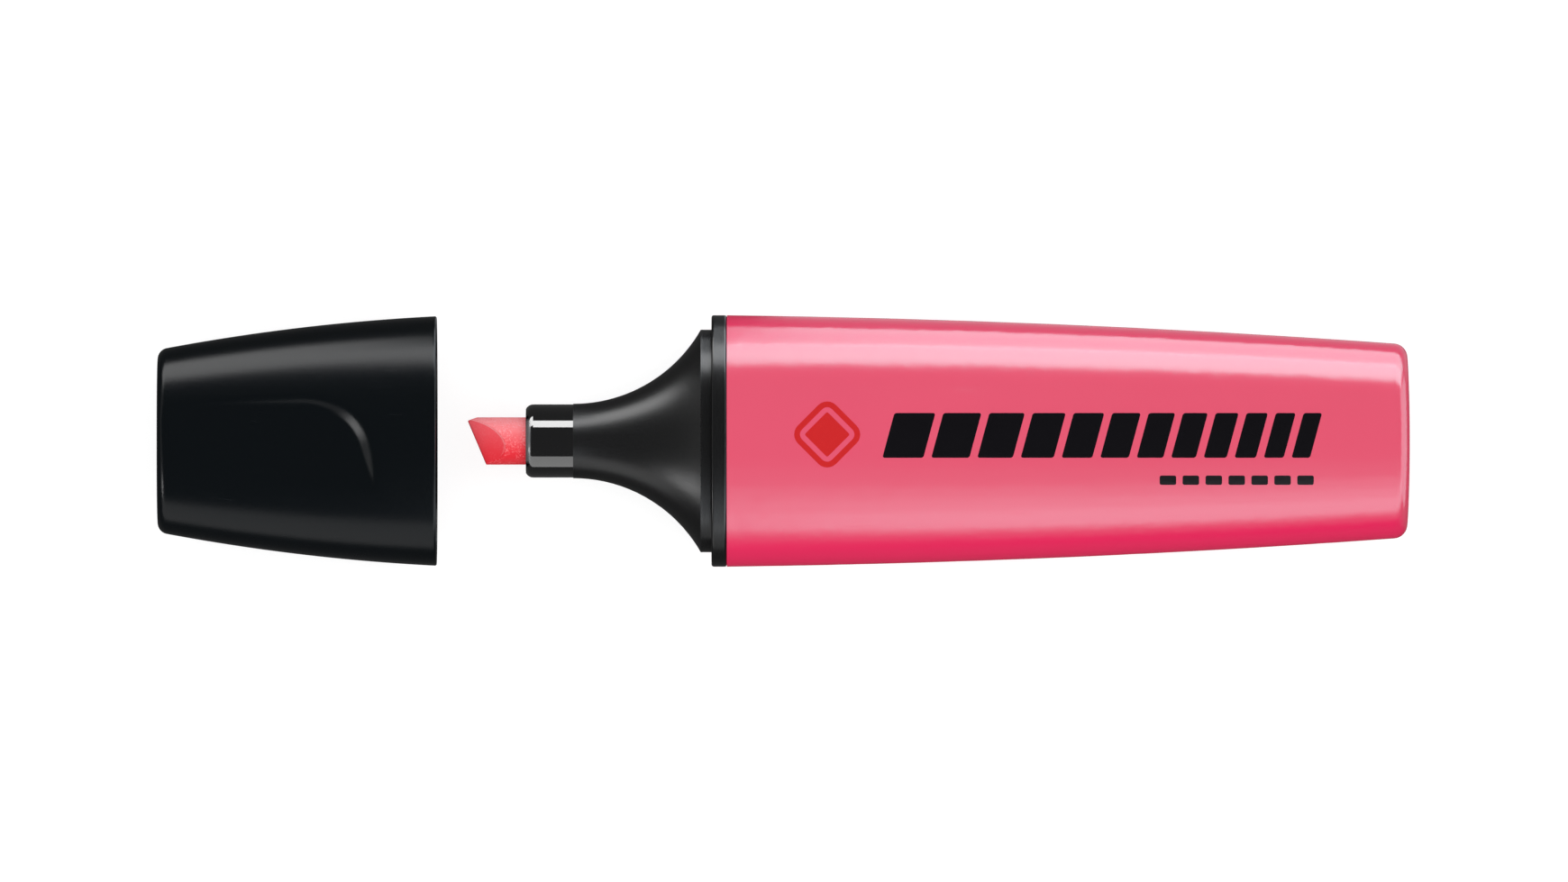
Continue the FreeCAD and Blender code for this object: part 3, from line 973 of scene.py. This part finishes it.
@dataclass
class Cap:
    """The cap shell with its finger recesses, and the sealing cup inside it.

    Lengths along the cap start at its mouth, and lengths across it at its axis.
    """

    mouth_half: tuple[float, float] = (13.4 * MM, 8.4 * MM)
    end_half: tuple[float, float] = (9.8 * MM, 6.2 * MM)
    bow: tuple[float, float] = (0.53 * MM, 0.35 * MM)
    wall: float = 1.45 * MM
    end_wall: float = 1.53 * MM
    seat_half: tuple[float, float] = (12.03 * MM, 7.03 * MM)
    seat_depth: float = 1.66 * MM
    end_rounding: float = 0.95 * MM
    mouth_rounding: float = 0.2 * MM
    rib_thickness: float = 1.0 * MM
    seal_radius: float = 4.615 * MM
    seal_length: float = 12.7 * MM
    recess_edge: float = 3.85 * MM
    recess_corner: float = 9.6 * MM
    recess_radius: float = 6.5 * MM
    recess_slant: float = math.radians(18)
    recess_wall: float = math.radians(30)
    recess_depth: float = 0.65 * MM
    recess_points: tuple[tuple[float, float], ...] = (
        (9.5 * MM, 4.4 * MM), (27.0 * MM, 4.4 * MM), (6.0 * MM, -5.2 * MM))
    softness: float = 0.16 * MM
    columns: int = 432
    side_rows: int = 140
    end_shares: tuple[float, ...] = (0.0, 0.2, 0.4, 0.6, 0.8, 0.94)
    end_rounding_rows: int = 10
    mouth: float = field(default=0.0, init=False)
    length: float = field(default=0.0, init=False)

    def half(self, along: float, axis: int) -> float:
        """Find half the cap's size at a place along it.

        Args:
            along: The distance from the mouth.
            axis: 0 for the width, 1 for the height.

        Returns:
            The half size.
        """
        share = along / self.length
        straight = self.mouth_half[axis] * (1 - share) + self.end_half[axis] * share
        return straight + 4 * self.bow[axis] * share * (1 - share)

    def surface(self, along: float, across: float) -> float:
        """Return the height of the broad face without its recess."""
        share = (abs(across) / self.half(along, 0)) ** OVAL_EXPONENT
        return self.half(along, 1) * (1 - share) ** (1 / OVAL_EXPONENT)

    def floor_plane(self) -> Callable[[float, float], float]:
        """Lay the recess floor through its three points.

        Returns:
            The floor's height as a function of the place along and across.
        """
        deep, end, low = self.recess_points
        height = self.surface(*deep) - self.recess_depth
        rise = (self.surface(*end) - height) / (end[0] - deep[0])
        rest = self.surface(*low) - height - rise * (low[0] - deep[0])
        tilt = rest / (low[1] - deep[1])
        return lambda along, across: height + rise * (along - deep[0]) + tilt * (across - deep[1])

    def outside_recess(self, along: float, across: float) -> float:
        """Measure how far a place lies outside the outline of the recess floor.

        Args:
            along: The place's distance from the mouth.
            across: Its distance from the axis.

        Returns:
            The distance, negative inside the outline.
        """
        turn = math.pi / 2 - self.recess_slant
        centre = self.recess_corner + self.recess_radius * math.tan(turn / 2)
        x = centre - along
        y = across - self.recess_edge + self.recess_radius
        angle = math.atan2(x, y)
        if 0 <= angle <= turn:
            return math.hypot(x, y) - self.recess_radius
        if -math.pi / 2 < angle < 0 or x < 0:
            return y - self.recess_radius
        return x * math.sin(turn) + y * math.cos(turn) - self.recess_radius

    def rows(self) -> list[Row]:
        """List the rows from the closed end, along the outside, and back inside.

        Returns:
            The rows in order.
        """
        def outer(along: float, inset: float) -> Row:
            """Return a row of the outside, moved inwards."""
            return Row(self.mouth - along, self.half(along, 0) - inset, self.half(along, 1) - inset)

        def bore(along: float, scale: float = 1.0) -> Row:
            """Make a row of the inside, or a smaller one on its end face.

            Args:
                along: The row's distance from the mouth.
                scale: Its size as a share of the full section.

            Returns:
                The row.
            """
            wide = (self.half(along, 0) - self.wall) * scale
            high = (self.half(along, 1) - self.wall) * scale
            return Row(self.mouth - along, wide, high)

        corner = self.end_rounding
        edge_wide = self.end_half[0] - corner
        edge_high = self.end_half[1] - corner
        rows = [Row(self.mouth - self.length, edge_wide * share, edge_high * share)
                for share in self.end_shares]
        for angle in spread(0.0, math.pi / 2, self.end_rounding_rows):
            rows.append(outer(self.length - corner * (1 - math.cos(angle)),
                              corner * (1 - math.sin(angle))))
        lip = self.mouth_rounding
        rows += [outer(along, 0.0)
                 for along in spread(self.length - corner, lip, self.side_rows)[1:]]
        for angle in spread(0.0, math.pi / 2, 5)[1:]:
            rows.append(outer(lip * (1 - math.sin(angle)), lip * (1 - math.cos(angle))))
        for along, grow in ((0.0, 0.12), (0.04, 0.03), (0.15, 0.0), (1.5, 0.0)):
            rows.append(Row(self.mouth - along * MM, self.seat_half[0] + grow * MM,
                            self.seat_half[1] + grow * MM))
        rows.append(Row(self.mouth - self.seat_depth, self.seat_half[0], self.seat_half[1]))
        inner_end = self.length - self.end_wall
        rows += [bore(along) for along in spread(self.seat_depth, inner_end, 16)]
        rows += [bore(inner_end, share) for share in (0.9, 0.6, 0.3, 0.0)]
        return rows

    def make_ribs(self, mesh: bmesh.types.BMesh) -> None:
        """Add the four ribs that hold the sealing cup.

        Args:
            mesh: The bmesh of the shell.
        """
        start = self.length - self.end_wall + 0.2 * MM
        end = start - self.seal_length
        for axis, turn in ((0, 0.0), (1, math.pi / 2)):
            for side in (0.0, math.pi):
                inner = self.seal_radius
                ends = [self.half(place, axis) - self.wall + 0.3 * MM for place in (start, end)]
                outline = ((start, inner), (start, ends[0]), (end, ends[1]), (end, inner))
                corners = [mesh.verts.new((self.mouth - along, away, -self.rib_thickness / 2))
                           for along, away in outline]
                face = mesh.faces.new(corners)
                grown = bmesh.ops.extrude_face_region(mesh, geom=[face], use_keep_orig=True)
                upper = [part for part in grown["geom"] if isinstance(part, bmesh.types.BMVert)]
                bmesh.ops.translate(mesh, verts=upper, vec=(0.0, 0.0, self.rib_thickness))
                bmesh.ops.rotate(mesh, verts=corners + upper, cent=(0.0, 0.0, 0.0),
                                 matrix=Matrix.Rotation(turn + side, 3, "X"))
                faces = {face for vert in corners + upper for face in vert.link_faces}
                bmesh.ops.recalc_face_normals(mesh, faces=list(faces))

    def build(self) -> None:
        """Make the shell, put it in place of the CAD node, and dress the cup."""
        low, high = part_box("cap_shell")
        self.mouth = high.x
        self.length = high.x - low.x
        floor = self.floor_plane()

        def shape(point: Vector, number: int) -> Vector:
            """Press a point of the outside down into a finger recess.

            Args:
                point: The point on the plain shell.
                number: The number of its row.

            Returns:
                The pressed point.
            """
            if number > outer_rows or not point.z:
                return point
            side = math.copysign(1.0, point.z)
            along, across = self.mouth - point.x, point.y * side
            away = soft_max(0.0, self.outside_recess(along, across), self.softness)
            pressed = floor(along, across) + away * math.tan(self.recess_wall)
            height = -soft_max(-abs(point.z), -pressed, self.softness)
            return Vector((point.x, point.y, height * side))

        rows = self.rows()
        outer_rows = len(self.end_shares) + self.end_rounding_rows + 1 + self.side_rows
        mesh = wrapped_sleeve(self.columns, rows, shape)
        self.make_ribs(mesh)
        plastic = MouldedPlastic("satin_black_plastic", (0.0020, 0.0034, 0.0046), 0.22, 0.28,
                                 0.16 * MM, 0.010 * MM)
        shell = add_piece("recessed_cap", mesh, plastic.material(), Body.CAP)
        shell.data.shade_smooth()
        shell.data.set_sharp_from_angle(angle=math.radians(38))
        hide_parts("cap_shell")
        seal = MouldedPlastic("natural_polyethylene", (0.74, 0.73, 0.70), 0.38, 0.4,
                              0.3 * MM, 0.001 * MM, translucency=0.2)
        dress("inner_cap", seal.material())


@dataclass
class SoftBox:
    """A rectangular studio light that faces the pen.

    Attributes:
        name: The light's name.
        azimuth: The direction it stands in, in degrees from +X towards +Y.
        zeniths: Its lower and upper angle from straight up, in degrees.
        distance: How far its middle is from the pen.
        span: Where it starts and ends sideways, +X or +Y being positive.
        radiance: How bright its face is.
        colour: The tint of its light.
        role: Whether it lights the pen evenly or only shows in its gloss.
    """

    name: str
    azimuth: float
    zeniths: tuple[float, float]
    distance: float
    span: tuple[float, float]
    radiance: float
    colour: Colour = WHITE
    role: LightRole = LightRole.GLOSS

    def build(self) -> bpy.types.Object:
        """Add the light to the scene.

        Returns:
            The light's object.
        """
        data = bpy.data.lights.new(self.name, "AREA")
        data.shape = "RECTANGLE"
        data.color = self.colour
        data.size = self.span[1] - self.span[0]
        half_angle = math.radians(self.zeniths[1] - self.zeniths[0]) / 2
        data.size_y = 2 * self.distance * math.tan(half_angle)
        data.energy = self.radiance * math.pi * data.size * data.size_y
        turn = math.radians(self.azimuth)
        lean = math.radians(sum(self.zeniths) / 2)
        outward = Vector((math.cos(turn) * math.sin(lean), math.sin(turn) * math.sin(lean),
                          math.cos(lean)))
        sideways = Vector((abs(math.sin(turn)), abs(math.cos(turn)), 0.0))
        made = bpy.data.objects.new(self.name, data)
        made.location = outward * self.distance + sideways * sum(self.span) / 2
        made.rotation_euler = outward.to_track_quat("Z", "Y").to_euler()
        made.visible_camera = False
        made.visible_diffuse = self.role is LightRole.EVEN
        made.visible_glossy = self.role is LightRole.GLOSS
        bpy.context.scene.collection.objects.link(made)
        return made


@dataclass
class Studio:
    """The floor, the lights and the camera.

    Attributes:
        floor_size: The length of the floor's side.
        view_width: The width that the camera sees.
        view_middle: The place in X at the middle of its picture.
        lens: The camera's focal length, in millimetres.
        sensor: The width of its sensor, in millimetres.
        sky: How bright the sky is.
        floor_glow: How strongly the floor glows.
    """

    floor_size: float = 12.0
    view_width: float = 168.3 * MM
    view_middle: float = 7.78 * MM
    lens: float = 600.0
    sensor: float = 36.0
    sky: float = 0.07
    floor_glow: float = 0.8

    def build(self) -> None:
        """Add everything that isn't part of the pen."""
        self.build_floor()
        self.build_lights()
        self.build_camera()

    def build_floor(self) -> None:
        """Lay the floor just under the pen."""
        mesh = bmesh.new()
        bmesh.ops.create_grid(mesh, x_segments=2, y_segments=2, size=self.floor_size / 2)
        bmesh.ops.translate(mesh, verts=mesh.verts, vec=(0.0, 0.0, cad_box[0].z - 0.05 * MM))
        pale = LitFloor("pale_floor", (0.36, 0.36, 0.36), self.floor_glow)
        floor = add_piece("floor", mesh, pale.material())
        floor.visible_glossy = False

    def build_lights(self) -> None:
        """Add the even light from above, the lights that show in the gloss, and the sky.

        The gloss lights are split along X, because the cap and the barrel taper opposite
        ways and so show different ones.
        """
        cool = (0.93, 0.98, 1.03)
        boxes = (SoftBox("overhead", 90, (-34, 34), 1.2, (-1.1, 1.1), 2.06, WHITE, LightRole.EVEN),
                 SoftBox("barrel_key", 90, (44, 70), 0.6, (0.006, 0.7), 6.0, cool),
                 SoftBox("neck_key", 90, (44, 67), 0.6, (-0.09, -0.008), 4.9),
                 SoftBox("cap_key", 90, (50, 84), 0.6, (-0.7, -0.09), 4.7),
                 SoftBox("barrel_low_key", 90, (68, 106), 0.25, (0.008, 0.4), 4.4, cool),
                 SoftBox("barrel_bounce", 90, (106, 165), 0.2, (0.008, 0.4), 0.5, cool),
                 SoftBox("cap_fill", -90, (50, 90), 0.6, (-0.7, -0.004), 0.95),
                 SoftBox("barrel_fill", -90, (39, 58), 0.5, (0.016, 0.7), 0.85, cool),
                 SoftBox("barrel_soft_fill", -90, (29, 61), 0.53, (0.016, 0.7), 0.8, cool),
                 SoftBox("barrel_wide_fill", -90, (20, 66), 0.56, (0.016, 0.7), 0.8, cool),
                 SoftBox("barrel_faint_fill", -90, (9, 77), 0.6, (0.016, 0.7), 0.3, cool),
                 SoftBox("tail_light", 0, (50, 100), 0.6, (-0.3, 0.3), 2.4, cool),
                 SoftBox("front_light", 180, (50, 76), 0.6, (-0.35, 0.35), 0.4),
                 SoftBox("recess_light", 206, (57, 67), 0.55, (-0.07, 0.07), 8.0))
        for box in boxes:
            LOG.info("lit %s", box.build().name)
        world = bpy.data.worlds.new("studio")
        world.use_nodes = True
        sky = world.node_tree.nodes["Background"]
        sky.inputs["Color"].default_value = (*WHITE, 1.0)
        sky.inputs["Strength"].default_value = self.sky
        bpy.context.scene.world = world
        bpy.context.scene.view_settings.view_transform = "Standard"

    def build_camera(self) -> None:
        """Hang the camera straight above the pen, with +Y up in its picture."""
        data = bpy.data.cameras.new("camera")
        data.lens = self.lens
        data.sensor_width = self.sensor
        data.clip_end = 20.0
        made = bpy.data.objects.new("camera", data)
        height = self.view_width * self.lens / self.sensor
        made.location = (self.view_middle, 0.0, height)
        bpy.context.scene.collection.objects.link(made)
        bpy.context.scene.camera = made


def main() -> None:
    """Build every sub-assembly in order."""
    logging.basicConfig(level=logging.INFO)
    Studio().build()
    Pen().build()
    Cap().build()


if __name__ == "__main__":
    main()
